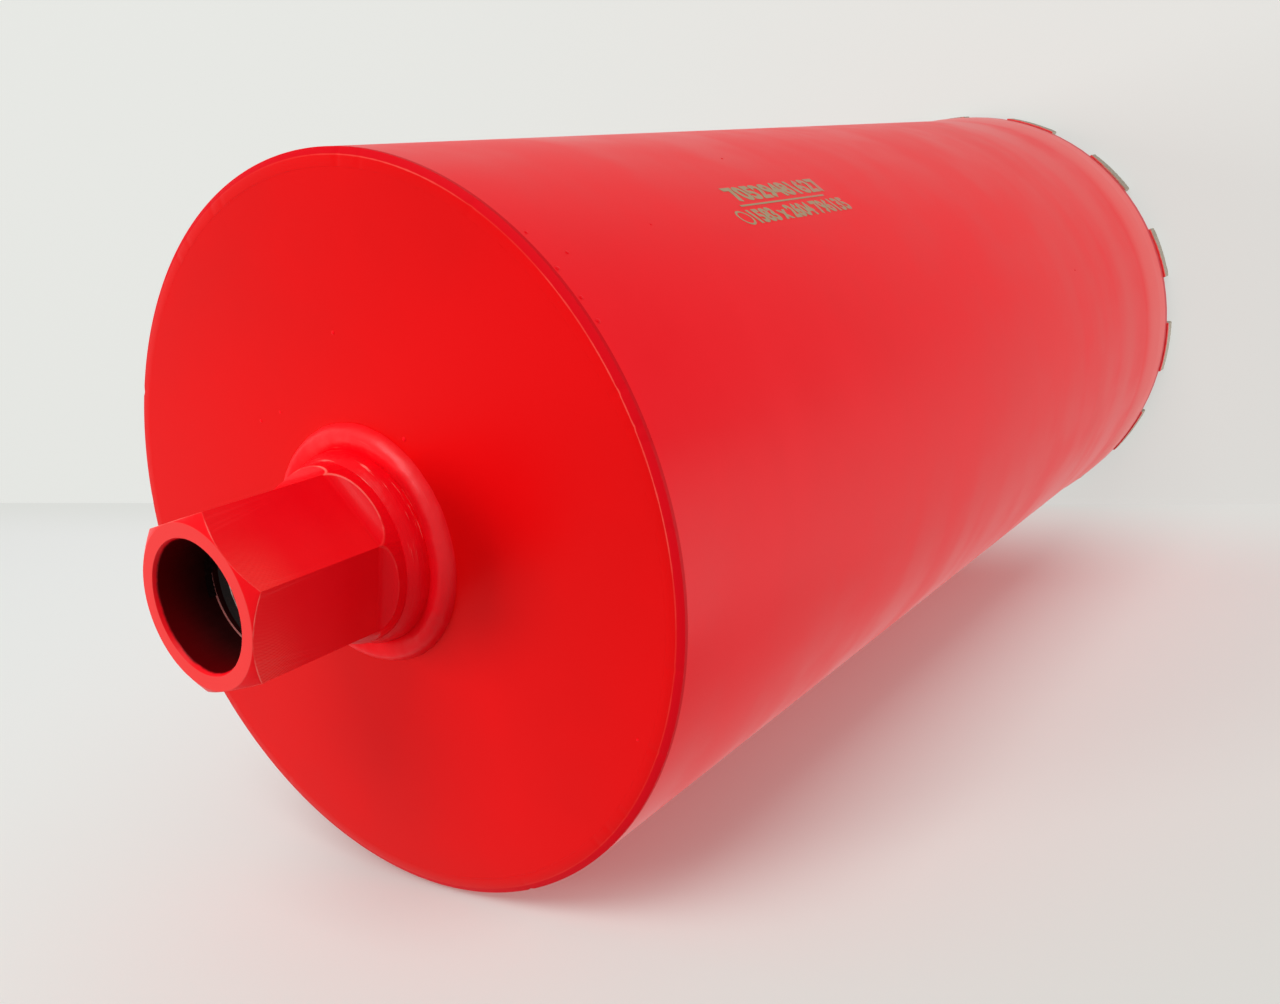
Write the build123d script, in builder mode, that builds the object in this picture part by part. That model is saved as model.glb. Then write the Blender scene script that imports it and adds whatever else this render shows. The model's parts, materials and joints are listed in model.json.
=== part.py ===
from build123d import *
import os
from math import cos, degrees, radians, sin, tan

# Diamond core bit of the 8 inch size, for wet drilling in concrete and masonry.
# It stands on its crown: Z = 0 is the plane of the segment tips, the hub points up,
# and the Z axis is the axis that the bit turns about. All sizes are in millimetres.

# ---- Driving dimensions --------------------------------------------------------

# Steel tube
BARREL_DIAMETER = 200.0
BARREL_WALL = 3.0
STEEL_LENGTH = 409.0            # from the rim of the tube to the outer face of the back plate
RIM_CHAMFER = 0.6               # broken outer edge of the rim

# Expanded end of the tube, which makes room for the rest of it in the cut
FLARE_RISE = 1.0                # growth of the radius
FLARE_LENGTH = 20.0             # S-shaped transition, along the axis
LAND_LENGTH = 13.0              # straight stretch from the transition to the rim

# Diamond segments
SEGMENT_COUNT = 14
SEGMENT_LENGTH = 24.0           # along the outer face
SEGMENT_HEIGHT = 7.0
SEGMENT_THICKNESS = 4.2
SEGMENT_STAND_OUT = 0.6         # past the outer face of the rim
SEGMENT_TIP_ROUND = 0.7
CROWN_TURN = 2.5                # from +X to the middle of the first segment, in degrees

# Back plate, and the weld that joins it to the tube
PLATE_THICKNESS = 10.0
RIM_WELD_REACH = 1.6            # how far the weld bites into the plate
RIM_WELD_DEPTH = 4.0
RIM_WELD_SKIRT = 1.0            # height of weld metal showing on the outside
TURNED_CHAMFER_WIDTH = 1.8      # chamfer turned on the finished weld, across its radius
TURNED_CHAMFER_HEIGHT = 1.0

# Hub
HUB_HEIGHT = 51.4               # above the outer face of the back plate
HUB_BAR_DIAMETER = 47.6         # round bar that the hub is made from
HUB_CHAMFER_WIDTH = 3.4         # turned on the end of the bar, across its radius
HUB_CHAMFER_ANGLE = 36.0        # from the end face, in degrees
FLAT_COUNT = 6
HUB_ACROSS_FLATS = 41.0
FLAT_FOOT = 15.2                # the flats are flat down to here, above the back plate
FLAT_RUN_OUT_RADIUS = 4.4       # radius of the cutter, left at the foot of each flat
SPIGOT_DIAMETER = 38.0          # passes through the back plate
SPIGOT_STAND_OUT = 1.5          # past the plate's inner face
SPIGOT_CHAMFER = 1.0

# Bore of the hub: a plain lead-in, a 1-1/4 inch thread and a water way
THREAD_DIAMETER = 31.75
THREAD_LENGTH = 34.0
LEAD_IN_CLEARANCE = 0.65        # of the lead-in over the thread, on the diameter
LEAD_IN_DEPTH = 15.4
MOUTH_CHAMFER_WIDTH = 0.6
MOUTH_CHAMFER_HEIGHT = 1.2
WATER_WAY_DIAMETER = 22.0
DRILL_POINT_ANGLE = 118.0       # cone that the drill leaves below the thread

# Weld round the hub, laid in two passes: a low outer bead and a steep inner bead
INNER_BEAD_HEIGHT = 8.6         # on the side of the hub
INNER_BEAD_LEDGE = 0.35
INNER_BEAD_BULGE = 0.45
INNER_BEAD_BANDS = 2            # straight bands that make up the bulge
INNER_BEAD_WIDTH = 3.0          # from the hub to the valley where the two beads meet
BEAD_VALLEY_HEIGHT = 1.7
OUTER_BEAD_WIDTH = 5.9
OUTER_BEAD_BULGE = 1.6
OUTER_BEAD_BANDS = 4

# ---- Sizes and places worked out from them -------------------------------------

rim_z = SEGMENT_HEIGHT
plate_top_z = rim_z + STEEL_LENGTH
plate_bottom_z = plate_top_z - PLATE_THICKNESS
hub_top_z = plate_top_z + HUB_HEIGHT

barrel_radius = BARREL_DIAMETER / 2
barrel_bore_radius = barrel_radius - BARREL_WALL
rim_radius = barrel_radius + FLARE_RISE
rim_bore_radius = rim_radius - BARREL_WALL
flare_bottom_z = rim_z + LAND_LENGTH
flare_top_z = flare_bottom_z + FLARE_LENGTH
flare_middle_z = (flare_bottom_z + flare_top_z) / 2

weld_plate_radius = barrel_bore_radius - RIM_WELD_REACH
weld_root_z = plate_top_z - RIM_WELD_DEPTH
turned_edge_radius = barrel_radius - TURNED_CHAMFER_WIDTH
turned_edge_z = plate_top_z - TURNED_CHAMFER_HEIGHT
barrel_top_z = turned_edge_z - RIM_WELD_SKIRT

os.makedirs("parts", exist_ok=True)


# ---- Barrel ---------------------------------------------------------------------
# Tube of even wall, expanded at the rim, with its top edge bevelled for the weld.

with BuildPart() as barrel:
    with BuildSketch(Plane.XZ):
        with BuildLine():
            Polyline(
                (rim_radius, flare_bottom_z),
                (rim_radius, rim_z + RIM_CHAMFER),
                (rim_radius - RIM_CHAMFER, rim_z),
                (rim_bore_radius, rim_z),
                (rim_bore_radius, flare_bottom_z),
            )
            for wall_radius in (barrel_radius, barrel_bore_radius):
                flare_middle = (wall_radius + FLARE_RISE / 2, flare_middle_z)
                TangentArc((wall_radius + FLARE_RISE, flare_bottom_z), flare_middle, tangent=(0, 1))
                TangentArc((wall_radius, flare_top_z), flare_middle, tangent=(0, -1))
            Polyline(
                (barrel_bore_radius, flare_top_z),
                (barrel_bore_radius, weld_root_z),
                (barrel_radius, barrel_top_z),
                (barrel_radius, flare_top_z),
            )
        make_face()
    revolve(axis=Axis.Z)
barrel.part.label = "barrel"
export_step(barrel.part, "parts/barrel.step")


# ---- Back plate -----------------------------------------------------------------
# Disc that slides into the tube, bored for the hub's spigot and bevelled for the weld.

with BuildPart() as back_plate:
    with BuildSketch(Plane.XZ):
        with BuildLine():
            Polyline(
                (SPIGOT_DIAMETER / 2, plate_top_z),
                (SPIGOT_DIAMETER / 2, plate_bottom_z),
                (barrel_bore_radius, plate_bottom_z),
                (barrel_bore_radius, weld_root_z),
                (weld_plate_radius, plate_top_z),
                close=True,
            )
        make_face()
    revolve(axis=Axis.Z)
back_plate.part.label = "back_plate"
export_step(back_plate.part, "parts/back_plate.step")


# ---- Rim weld -------------------------------------------------------------------
# Weld metal in the groove between plate and tube, turned flush and chamfered.

with BuildPart() as rim_weld:
    with BuildSketch(Plane.XZ):
        with BuildLine():
            Polyline(
                (weld_plate_radius, plate_top_z),
                (turned_edge_radius, plate_top_z),
                (barrel_radius, turned_edge_z),
                (barrel_radius, barrel_top_z),
                (barrel_bore_radius, weld_root_z),
                close=True,
            )
        make_face()
    revolve(axis=Axis.Z)
rim_weld.part.label = "rim_weld"
export_step(rim_weld.part, "parts/rim_weld.step")


# ---- Hub ------------------------------------------------------------------------
# Turned from round bar. The six flats are milled with a cutter that leaves its own
# radius where each flat runs out into the round bar.

hub_bar_radius = HUB_BAR_DIAMETER / 2
hub_end_radius = hub_bar_radius - HUB_CHAMFER_WIDTH
hub_chamfer_height = HUB_CHAMFER_WIDTH * tan(radians(HUB_CHAMFER_ANGLE))
spigot_radius = SPIGOT_DIAMETER / 2
spigot_bottom_z = plate_bottom_z - SPIGOT_STAND_OUT

thread_radius = THREAD_DIAMETER / 2
lead_in_radius = thread_radius + LEAD_IN_CLEARANCE / 2
mouth_radius = lead_in_radius + MOUTH_CHAMFER_WIDTH
water_way_radius = WATER_WAY_DIAMETER / 2
thread_top_z = hub_top_z - LEAD_IN_DEPTH
thread_bottom_z = thread_top_z - THREAD_LENGTH
drill_cone_height = (thread_radius - water_way_radius) / tan(radians(DRILL_POINT_ANGLE / 2))

flat_distance = HUB_ACROSS_FLATS / 2
flat_foot_z = plate_top_z + FLAT_FOOT
run_out_bottom = (flat_distance + FLAT_RUN_OUT_RADIUS, flat_foot_z - FLAT_RUN_OUT_RADIUS)
cutter_reach = run_out_bottom[0] + hub_bar_radius
flat_pitch = 360 / FLAT_COUNT
flat_planes = []
for index in range(FLAT_COUNT):
    flat_angle = radians((index + 0.5) * flat_pitch)
    outward = (cos(flat_angle), sin(flat_angle), 0)
    sideways = (sin(flat_angle), -cos(flat_angle), 0)
    flat_planes.append(Plane(origin=(0, 0, 0), x_dir=outward, z_dir=sideways))

with BuildPart() as hub:
    with BuildSketch(Plane.XZ):
        with BuildLine():
            Polyline(
                (mouth_radius, hub_top_z),
                (hub_end_radius, hub_top_z),
                (hub_bar_radius, hub_top_z - hub_chamfer_height),
                (hub_bar_radius, plate_top_z),
                (spigot_radius, plate_top_z),
                (spigot_radius, spigot_bottom_z + SPIGOT_CHAMFER),
                (spigot_radius - SPIGOT_CHAMFER, spigot_bottom_z),
                (water_way_radius, spigot_bottom_z),
                (water_way_radius, thread_bottom_z - drill_cone_height),
                (thread_radius, thread_bottom_z),
                (thread_radius, thread_top_z),
                (lead_in_radius, thread_top_z),
                (lead_in_radius, hub_top_z - MOUTH_CHAMFER_HEIGHT),
                close=True,
            )
        make_face()
    revolve(axis=Axis.Z)
    with BuildSketch(*flat_planes):
        with BuildLine():
            CenterArc(
                center=(run_out_bottom[0], flat_foot_z),
                radius=FLAT_RUN_OUT_RADIUS,
                start_angle=180,
                arc_size=90,
            )
            Polyline(
                run_out_bottom,
                (cutter_reach, run_out_bottom[1]),
                (cutter_reach, hub_top_z + FLAT_FOOT),
                (flat_distance, hub_top_z + FLAT_FOOT),
                (flat_distance, flat_foot_z),
            )
        make_face()
    extrude(amount=hub_bar_radius, both=True, mode=Mode.SUBTRACT)
hub.part.label = "hub"
export_step(hub.part, "parts/hub.step")


# ---- Hub weld -------------------------------------------------------------------
# Two beads round the foot of the hub, seen in section as two bulges with a valley.
# Each bulge is laid off in straight bands along its arc.

bead_valley = (hub_bar_radius + INNER_BEAD_WIDTH, plate_top_z + BEAD_VALLEY_HEIGHT)
inner_bead_edge = (hub_bar_radius + INNER_BEAD_LEDGE, plate_top_z + INNER_BEAD_HEIGHT)
outer_bead_toe = (bead_valley[0] + OUTER_BEAD_WIDTH, plate_top_z)
inner_bulge = SagittaArc(inner_bead_edge, bead_valley, INNER_BEAD_BULGE)
outer_bulge = SagittaArc(bead_valley, outer_bead_toe, OUTER_BEAD_BULGE)

with BuildPart() as hub_weld:
    with BuildSketch(Plane.XZ):
        with BuildLine():
            Polyline(
                outer_bead_toe,
                (hub_bar_radius, plate_top_z),
                (hub_bar_radius, plate_top_z + INNER_BEAD_HEIGHT),
                inner_bead_edge,
            )
            for bulge, bands in ((inner_bulge, INNER_BEAD_BANDS), (outer_bulge, OUTER_BEAD_BANDS)):
                Polyline(*[bulge @ (step / bands) for step in range(bands + 1)])
        make_face()
    revolve(axis=Axis.Z)
hub_weld.part.label = "hub_weld"
export_step(hub_weld.part, "parts/hub_weld.step")


# ---- Diamond segments -----------------------------------------------------------
# Sintered blocks, curved to the rim and welded to it by their flat roots.

segment_outer_radius = rim_radius + SEGMENT_STAND_OUT
segment_inner_radius = segment_outer_radius - SEGMENT_THICKNESS
segment_arc = degrees(SEGMENT_LENGTH / segment_outer_radius)
segment_pitch = 360 / SEGMENT_COUNT

for index in range(SEGMENT_COUNT):
    segment_start = CROWN_TURN + index * segment_pitch - segment_arc / 2
    segment_name = f"segment_{index + 1:02d}"
    with BuildPart() as segment:
        with BuildSketch(Plane.XY):
            with BuildLine():
                outer_face = CenterArc((0, 0), segment_outer_radius, segment_start, segment_arc)
                inner_face = CenterArc((0, 0), segment_inner_radius, segment_start, segment_arc)
                Line(outer_face @ 0, inner_face @ 0)
                Line(outer_face @ 1, inner_face @ 1)
            make_face()
        extrude(amount=SEGMENT_HEIGHT)
        tip = segment.faces().sort_by(Axis.Z)[0]
        fillet(tip.edges().filter_by(GeomType.LINE), radius=SEGMENT_TIP_ROUND)
    segment.part.label = segment_name
    export_step(segment.part, f"parts/{segment_name}.step")
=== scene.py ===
"""Looks of an 8 inch diamond core bit: its paint, welds, thread, crown and print.

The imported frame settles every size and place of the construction. This script adds what
the construction leaves out, dresses each piece and sets it in a plain pale studio.
"""

import json
import logging
import math
import random
from dataclasses import dataclass
from enum import Enum
from typing import Callable

import bpy
from mathutils import Matrix, Vector

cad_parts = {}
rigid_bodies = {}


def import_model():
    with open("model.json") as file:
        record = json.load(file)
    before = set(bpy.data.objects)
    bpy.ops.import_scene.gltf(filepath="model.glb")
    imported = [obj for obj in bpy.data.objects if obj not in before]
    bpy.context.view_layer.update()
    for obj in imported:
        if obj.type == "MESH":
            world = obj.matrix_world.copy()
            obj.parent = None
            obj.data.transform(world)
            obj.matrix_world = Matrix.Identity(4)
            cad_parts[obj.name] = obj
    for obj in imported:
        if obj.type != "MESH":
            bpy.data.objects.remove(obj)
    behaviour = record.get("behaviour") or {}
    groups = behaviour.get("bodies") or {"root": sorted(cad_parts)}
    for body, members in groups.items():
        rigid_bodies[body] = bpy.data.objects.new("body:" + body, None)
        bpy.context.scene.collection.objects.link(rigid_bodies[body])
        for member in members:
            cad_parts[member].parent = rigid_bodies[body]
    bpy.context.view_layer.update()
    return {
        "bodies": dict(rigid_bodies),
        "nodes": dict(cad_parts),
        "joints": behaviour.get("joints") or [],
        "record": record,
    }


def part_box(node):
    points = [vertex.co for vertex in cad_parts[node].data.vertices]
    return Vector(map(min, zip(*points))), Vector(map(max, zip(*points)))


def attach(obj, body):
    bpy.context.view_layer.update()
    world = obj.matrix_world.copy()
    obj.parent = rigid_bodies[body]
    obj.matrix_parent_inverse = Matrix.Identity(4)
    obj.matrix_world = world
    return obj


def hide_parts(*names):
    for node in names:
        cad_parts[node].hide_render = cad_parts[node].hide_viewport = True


LOG = logging.getLogger("core_bit")

MM = 0.001
BODY = "root"

Point2 = tuple[float, float]
Point3 = tuple[float, float, float]
Colour = Point3
Piece = bpy.types.Object
Finish = bpy.types.Material
Socket = bpy.types.NodeSocket
Tree = bpy.types.NodeTree


class Slot(Enum):
    """The record's material slots."""

    PAINT = "red_paint"
    MATRIX = "diamond_matrix"


class Pick(Enum):
    """What edit mode selects."""

    VERT = "VERT"
    EDGE = "EDGE"
    FACE = "FACE"


class Relief(Enum):
    """Kinds of displacement texture."""

    CLOUDS = "CLOUDS"
    STUCCI = "STUCCI"


# ---- Sizes read from the frame ----


@dataclass(frozen=True)
class Layout:
    """Sizes and heights of the bit, in metres, as the frame gives them."""

    tube_radius: float
    tube_bore_radius: float
    crown_radius: float
    rim_z: float
    ring_bottom_z: float
    plate_z: float
    hub_radius: float
    hub_top_z: float
    bead_radius: float
    bead_top_z: float
    thread_radius: float
    thread_middle_z: float
    thread_length: float
    segment_names: tuple[str, ...]

    @classmethod
    def from_frame(cls, frame: dict) -> "Layout":
        """Reads the sizes.


        Returns:
            The sizes of this bit.
        """
        thread = next(mount for mount in frame["record"]["mounts"] if mount["name"] == "spindle_thread")
        names = tuple(sorted(name for name in frame["nodes"] if name.startswith("segment_")))
        ring_low, ring_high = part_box("rim_weld")
        bead_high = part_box("hub_weld")[1]
        hub_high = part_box("hub")[1]
        return cls(
            tube_radius=ring_high.x,
            tube_bore_radius=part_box("back_plate")[1].x,
            crown_radius=max(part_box(name)[1].x for name in names),
            rim_z=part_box("barrel")[0].z,
            ring_bottom_z=ring_low.z,
            plate_z=ring_high.z,
            hub_radius=hub_high.x,
            hub_top_z=hub_high.z,
            bead_radius=bead_high.x,
            bead_top_z=bead_high.z,
            thread_radius=thread["dims"]["r_mm"] * MM,
            thread_middle_z=thread["pos_m"][2],
            thread_length=thread["dims"]["length_mm"] * MM,
            segment_names=names,
        )


# ---- Modelling helpers ----


class Bench:
    """Small steps of hand modelling, shared by all pieces."""

    doubles = 0.002 * MM

    @staticmethod
    def leave() -> None:
        """Leaves edit mode."""
        bpy.ops.object.mode_set(mode="OBJECT")

    @staticmethod
    def clear() -> None:
        """Leaves edit mode, if it's open, and deselects every object."""
        if bpy.context.object and bpy.context.object.mode != "OBJECT":
            Bench.leave()
        bpy.ops.object.select_all(action="DESELECT")

    @staticmethod
    def hold(piece: Piece) -> None:
        """Makes a piece the only selected one and the active one."""
        Bench.clear()
        piece.select_set(True)
        bpy.context.view_layer.objects.active = piece

    @staticmethod
    def edit(piece: Piece, mode: Pick = Pick.VERT, whole: bool = False) -> None:
        """Opens a piece in edit mode with nothing, or the whole piece, selected."""
        Bench.hold(piece)
        bpy.ops.object.mode_set(mode="EDIT")
        bpy.ops.mesh.select_mode(type=mode.value)
        bpy.ops.mesh.select_all(action="SELECT" if whole else "DESELECT")

    @staticmethod
    def named(name: str) -> Piece:
        """Names the active object and its mesh."""
        piece = bpy.context.object
        piece.name = name
        piece.data.name = name
        return piece

    @staticmethod
    def settle(piece: Piece) -> None:
        """Moves a piece's place, turn and scale into its mesh."""
        Bench.hold(piece)
        bpy.ops.object.transform_apply(location=True, rotation=True, scale=True)

    @staticmethod
    def add(piece: Piece, kind: str, **settings: object) -> bpy.types.Modifier:
        """Adds a live modifier and sets its properties."""
        modifier = piece.modifiers.new(kind.lower(), kind)
        for key, value in settings.items():
            setattr(modifier, key, value)
        return modifier

    @staticmethod
    def modify(piece: Piece, kind: str, **settings: object) -> None:
        """Adds a modifier and applies it."""
        Bench.hold(piece)
        bpy.ops.object.modifier_apply(modifier=Bench.add(piece, kind, **settings).name)

    @staticmethod
    def roughen(piece: Piece, relief: bpy.types.Texture, depth: float) -> None:
        """Presses a relief into a piece."""
        Bench.modify(piece, "DISPLACE", texture=relief, texture_coords="LOCAL", strength=depth, mid_level=1.0)

    @staticmethod
    def pick(piece: Piece, test: Callable[[Vector], bool]) -> None:
        """Selects the vertices whose place passes a test, in edit mode."""
        Bench.leave()
        for vertex in piece.data.vertices:
            vertex.select = test(vertex.co)
        bpy.ops.object.mode_set(mode="EDIT")

    @staticmethod
    def copy(pattern: Piece) -> Piece:
        """Copies a piece, with a mesh of its own."""
        made = pattern.copy()
        made.data = pattern.data.copy()
        bpy.context.collection.objects.link(made)
        return made

    @staticmethod
    def join(pieces: list[Piece], name: str) -> Piece:
        """Joins pieces into one."""
        Bench.hold(pieces[0])
        for piece in pieces:
            piece.select_set(True)
        bpy.ops.object.join()
        return Bench.named(name)

    @staticmethod
    def plane(name: str, place: Point3, size: Point2, tilt: float = math.pi / 2) -> Piece:
        """A rectangle about a place, upright along X unless the tilt says otherwise."""
        Bench.clear()
        bpy.ops.mesh.primitive_plane_add(size=1, location=place, rotation=(tilt, 0, 0))
        piece = Bench.named(name)
        piece.scale = (*size, 1)
        Bench.settle(piece)
        return piece

    @staticmethod
    def finish(piece: Piece, sharp_degrees: float = 32.0) -> None:
        """Merges doubles, turns the faces outwards and smooths below an angle."""
        Bench.edit(piece, whole=True)
        bpy.ops.mesh.remove_doubles(threshold=Bench.doubles)
        bpy.ops.mesh.normals_make_consistent(inside=False)
        Bench.leave()
        bpy.ops.object.shade_smooth_by_angle(angle=math.radians(sharp_degrees))

    @staticmethod
    def lathe(name: str, outline: list[Point2], steps: int) -> Piece:
        """Turns a closed outline about Z, ring by ring.

        Args:
            name: The piece's name.
            outline: Radius and height of each corner, in metres.
            steps: Number of steps round the axis.

        Returns:
            The closed ring, at the origin.
        """
        radius, height = outline[0]
        Bench.clear()
        bpy.ops.mesh.primitive_circle_add(vertices=steps, radius=radius, location=(0, 0, height))
        piece = Bench.named(name)
        Bench.settle(piece)
        Bench.edit(piece, Pick.EDGE, whole=True)
        for next_radius, next_height in outline[1:]:
            share = next_radius / radius
            step = (0, 0, next_height - height)
            bpy.ops.mesh.extrude_edges_move(TRANSFORM_OT_translate={"value": step})
            bpy.ops.transform.resize(value=(share, share, 1), center_override=(0, 0, next_height))
            radius, height = next_radius, next_height
        bpy.ops.mesh.select_all(action="DESELECT")
        bpy.ops.mesh.select_non_manifold(extend=False, use_boundary=True)
        bpy.ops.mesh.bridge_edge_loops()
        Bench.finish(piece)
        return piece


def polar(radius: float, turn: float, height: float) -> Vector:
    """The place at a radius, a turn in radians and a height."""
    return Vector((radius * math.cos(turn), radius * math.sin(turn), height))


def arc(start: Point2, end: Point2, bulge: float, steps: int) -> list[Point2]:
    """Points along a bulging line between two corners, both ends included.

    Args:
        start: First corner.
        end: Last corner.
        bulge: Height of the bulge over the middle, to the left of the way, in metres.
        steps: Number of stretches.

    Returns:
        The points in order.
    """
    along = Vector(end) - Vector(start)
    aside = Vector((-along.y, along.x)).normalized()
    points = []
    for step in range(steps + 1):
        share = step / steps
        place = Vector(start) + along * share + aside * bulge * 4 * share * (1 - share)
        points.append((place.x, place.y))
    return points


def clouds(name: str, size: float, kind: Relief = Relief.CLOUDS) -> bpy.types.Texture:
    """A procedural displacement texture.

    Args:
        name: The texture's name.
        size: Size of its blots, in metres.
        kind: The kind of relief.

    Returns:
        The texture.
    """
    texture = bpy.data.textures.new(name, kind.value)
    texture.noise_scale = size
    return texture


# ---- Node helpers ----


@dataclass(frozen=True)
class Value:
    """A node's output. Arithmetic on it adds the nodes that it needs."""

    sheet: "Sheet"
    socket: Socket

    def __add__(self, other: object) -> "Value":
        """The sum."""
        return self.sheet.math("ADD", self, other)

    def __sub__(self, other: object) -> "Value":
        """The difference."""
        return self.sheet.math("SUBTRACT", self, other)

    def __rsub__(self, other: object) -> "Value":
        """The difference from a constant."""
        return self.sheet.math("SUBTRACT", other, self)

    def __mul__(self, other: object) -> "Value":
        """The product."""
        return self.sheet.math("MULTIPLY", self, other)

    def __abs__(self) -> "Value":
        """The size without its sign."""
        return self.sheet.math("ABSOLUTE", self)

    def rise(self, low: float, high: float, start: object = 0.0, end: float = 1.0) -> "Value":
        """A smooth step, from start below low to end above high."""
        inputs = dict(enumerate((self, low, high, start, end)))
        return self.sheet.get("ShaderNodeMapRange", 0, inputs, interpolation_type="SMOOTHSTEP")

    def fall(self, low: float, high: float) -> "Value":
        """A smooth step from 1 below low to 0 above high."""
        return self.rise(low, high, 1.0, 0.0)


class Sheet:
    """Adds and links the nodes of one material, world or node group."""

    def __init__(self, tree: Tree) -> None:
        """Starts on an empty tree."""
        self.tree = tree
        tree.nodes.clear()

    def node(self, kind: str, inputs: dict | None = None, **settings: object) -> bpy.types.Node:
        """Adds a node.

        Args:
            kind: Blender's name of the node type.
            inputs: Values and constants for its sockets, by name or number.
            settings: Values for the node's properties.

        Returns:
            The node.
        """
        made = self.tree.nodes.new(kind)
        for key, value in settings.items():
            setattr(made, key, value)
        for key, value in (inputs or {}).items():
            self.feed(made.inputs[key], value)
        return made

    def feed(self, socket: Socket, value: object) -> None:
        """Links a value to a socket, or writes a constant on it."""
        source = value.socket if isinstance(value, Value) else value
        if isinstance(source, Socket):
            self.tree.links.new(source, socket)
        else:
            socket.default_value = (*source, 1.0) if socket.type == "RGBA" else source

    def get(self, kind: str, output: object, inputs: dict | None = None, **settings: object) -> Value:
        """Adds a node and returns one of its outputs, by name or number."""
        return Value(self, self.node(kind, inputs, **settings).outputs[output])

    def group(self, tree: Tree, **inputs: object) -> list[Value]:
        """Puts a node group in, feeds it by name and returns its outputs."""
        made = self.node("ShaderNodeGroup", inputs, node_tree=tree)
        return [Value(self, output) for output in made.outputs]

    def math(self, operation: str, *values: object) -> Value:
        """A Math node's result."""
        return self.get("ShaderNodeMath", 0, dict(enumerate(values)), operation=operation)

    def reach(self, first: Value, second: Value) -> Value:
        """The length of a way that goes so far in two square directions."""
        return self.math("SQRT", first * first + second * second)

    def facing(self, turn: Value, degrees: float) -> Value:
        """How far a turn round the axis faces one side: 1 towards it, -1 away."""
        return self.math("COSINE", turn - math.radians(degrees))

    def split(self, place: Value) -> list[Value]:
        """The three parts of a place."""
        return [Value(self, part) for part in self.node("ShaderNodeSeparateXYZ", {0: place}).outputs]

    def stretched(self, place: Value, scale: Point3) -> Value:
        """A place scaled by a Mapping node."""
        return self.get("ShaderNodeMapping", 0, {"Vector": place, "Scale": scale})

    def noise(self, place: Value, scale: object, detail: float, rough: float) -> Value:
        """A noise value at a place."""
        inputs = {"Vector": place, "Scale": scale, "Detail": detail, "Roughness": rough}
        return self.get("ShaderNodeTexNoise", 0, inputs)

    def mix(self, share: Value, first: object, second: object) -> Value:
        """A mix of two colours."""
        return self.get("ShaderNodeMix", 2, {0: share, 6: first, 7: second}, data_type="RGBA")

    def blend(self, share: Value, first: bpy.types.Node, second: bpy.types.Node) -> bpy.types.Node:
        """A mix of two shaders."""
        return self.node("ShaderNodeMixShader", {0: share, 1: first.outputs[0], 2: second.outputs[0]})


class GroupPlan(Sheet):
    """A node group in the making."""

    def __init__(self, name: str, inputs: tuple[str, ...], outputs: tuple[str, ...]) -> None:
        """Makes the group's sockets.

        Args:
            name: The group's name.
            inputs: Names of the inputs, all plain values but for a place.
            outputs: Names of the outputs, all plain values.
        """
        tree = bpy.data.node_groups.new(name, "ShaderNodeTree")
        super().__init__(tree)
        for key in inputs:
            kind = "NodeSocketVector" if key == "Place" else "NodeSocketFloat"
            tree.interface.new_socket(name=key, in_out="INPUT", socket_type=kind)
        for key in outputs:
            tree.interface.new_socket(name=key, in_out="OUTPUT", socket_type="NodeSocketFloat")
        source = self.node("NodeGroupInput").outputs
        self.given = [Value(self, source[key]) for key in inputs]

    def close(self, *values: Value) -> Tree:
        """Ends the group in its outputs."""
        self.node("NodeGroupOutput", dict(enumerate(values)))
        return self.tree


@dataclass(frozen=True)
class Effects:
    """The node groups that several finishes share."""

    polar: Tree
    drift: Tree
    peel: Tree
    streaks: Tree
    flecks: Tree

    @classmethod
    def build(cls) -> "Effects":
        """Builds every group once."""
        return cls(cls._polar(), cls._drift(), cls._peel(), cls._streaks(), cls._flecks())

    @staticmethod
    def _polar() -> Tree:
        """Radius, turn and height of a place round the Z axis."""
        plan = GroupPlan("polar_place", ("Place",), ("Radius", "Turn", "Height"))
        x, y, z = plan.split(*plan.given)
        return plan.close(plan.reach(x, y), plan.math("ARCTAN2", y, x), z)

    @staticmethod
    def _drift() -> Tree:
        """Slow change of the paint's tone: broad bands round the axis and soft blots."""
        plan = GroupPlan("tone_drift", ("Place", "Bands", "Blots", "Banding"), ("Tone",))
        place, bands, blots, banding = plan.given
        broad = plan.noise(plan.stretched(place, (0.12, 0.12, 1.0)), bands, 3.0, 0.55)
        soft = plan.noise(place, blots, 3.0, 0.5)
        return plan.close((broad * banding + soft * (1.0 - banding)).rise(0.34, 0.66))

    @staticmethod
    def _peel() -> Tree:
        """Height of the sprayed film's fine grain, in metres."""
        plan = GroupPlan("paint_peel", ("Place", "Grain", "Depth"), ("Height",))
        place, grain, depth = plan.given
        return plan.close(plan.noise(place, grain, 3.0, 0.6) * depth)

    @staticmethod
    def _streaks() -> Tree:
        """Streaks that run round the axis, as a value from 0 to 1."""
        plan = GroupPlan("ring_streaks", ("Radius", "Turn", "Height", "Across", "Along"), ("Streak",))
        radius, turn, height, across, along = plan.given
        east, north = plan.math("COSINE", turn) * along, plan.math("SINE", turn) * along
        joined = {0: east, 1: north, 2: (radius - height) * across}
        return plan.close(plan.noise(plan.get("ShaderNodeCombineXYZ", 0, joined), 1.0, 3.0, 0.6))

    @staticmethod
    def _flecks() -> Tree:
        """Sparse specks, as a mask."""
        plan = GroupPlan("paint_flecks", ("Place", "Density", "Size", "Rarity"), ("Mask",))
        place, density, size, rarity = plan.given
        cells = plan.node("ShaderNodeTexVoronoi", {"Vector": place, "Scale": density}).outputs
        near = plan.math("LESS_THAN", cells["Distance"], size)
        own = plan.get("ShaderNodeSeparateColor", 0, {0: cells["Color"]})
        return plan.close(near * plan.math("GREATER_THAN", own, rarity))


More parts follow.
